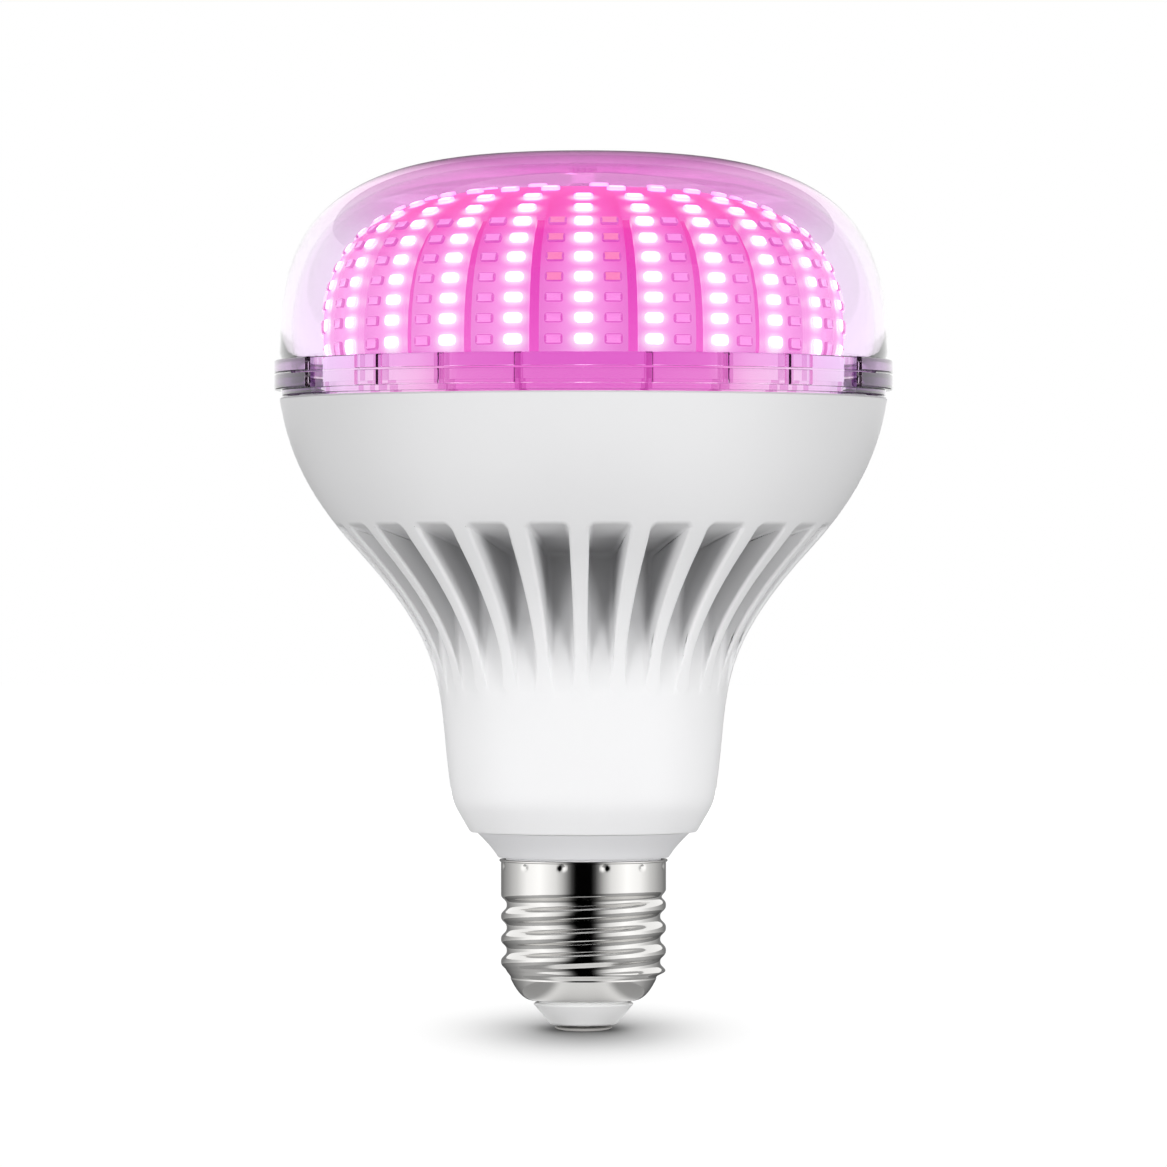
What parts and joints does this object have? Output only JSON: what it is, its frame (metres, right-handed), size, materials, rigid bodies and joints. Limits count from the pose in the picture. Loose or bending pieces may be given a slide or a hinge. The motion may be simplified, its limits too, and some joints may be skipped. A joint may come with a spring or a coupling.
{
  "type": "grow light bulb",
  "caption": "Screw-base grow light bulb: flared white housing with open ribbed channels, a clear domed cover and a petalled board of pink lights under it.",
  "frame": {"origin": "The middle of the centre contact's flat tip, which is the lowest point of the bulb.", "axes": "+Z is the bulb's own axis, from the contact up to the top of the clear cover. -Y is the front, the side that faces the camera in the picture. +X is the viewer's right."},
  "size_m": [0.0986, 0.0986, 0.1398],
  "materials": {
    "contact_metal": "nickel-plated, slightly worn",
    "white_insulator": "glossy white",
    "nickel_shell": "bright nickel plating",
    "cup_plastic": "satin, a little greyer than the housing",
    "white_housing_plastic": "satin white, moulded",
    "spreader_aluminium": "punched sheet",
    "zinc_screw": "zinc-plated",
    "former_plastic": "moulded",
    "light_board": "coated board that glows pink with its lights on",
    "board_screw_steel": "plain",
    "clear_ring_plastic": "clear, glossy, faintly lilac",
    "clear_cover_plastic": "clear, glossy, faintly lilac",
    "driver_board_laminate": "green laminate",
    "bulk_capacitor_sleeve": "shrink sleeve",
    "film_capacitor_case": "moulded case",
    "bridge_rectifier_case": "moulded case",
    "driver_chip_case": "moulded case",
    "transformer_case": "core and winding",
    "output_capacitor_body": "shrink sleeve",
    "output_inductor_body": "lacquered winding",
    "resistor_body": "dull coating",
    "black_wire": "insulated wire",
    "red_wire": "insulated wire"
  },
  "bodies": {
    "root": {"centre_contact": "contact_metal", "base_insulator": "white_insulator", "screw_shell": "nickel_shell", "driver_cup": "cup_plastic", "housing": "white_housing_plastic", "heat_spreader": "spreader_aluminium", "spreader_screw_1": "zinc_screw", "spreader_screw_2": "zinc_screw", "spreader_screw_3": "zinc_screw", "led_former": "former_plastic", "led_board": "light_board", "board_screw": "board_screw_steel", "cover_ring": "clear_ring_plastic", "dome_cover": "clear_cover_plastic", "driver_board": "driver_board_laminate", "bulk_capacitor": "bulk_capacitor_sleeve", "film_capacitor": "film_capacitor_case", "bridge_rectifier": "bridge_rectifier_case", "driver_chip": "driver_chip_case", "transformer": "transformer_case", "output_capacitor": "output_capacitor_body", "output_inductor": "output_inductor_body", "fusible_resistor": "resistor_body", "lead_live": "black_wire", "lead_neutral": "black_wire", "led_lead_negative": "black_wire", "led_lead_positive": "red_wire"}
  },
  "joints": []
}
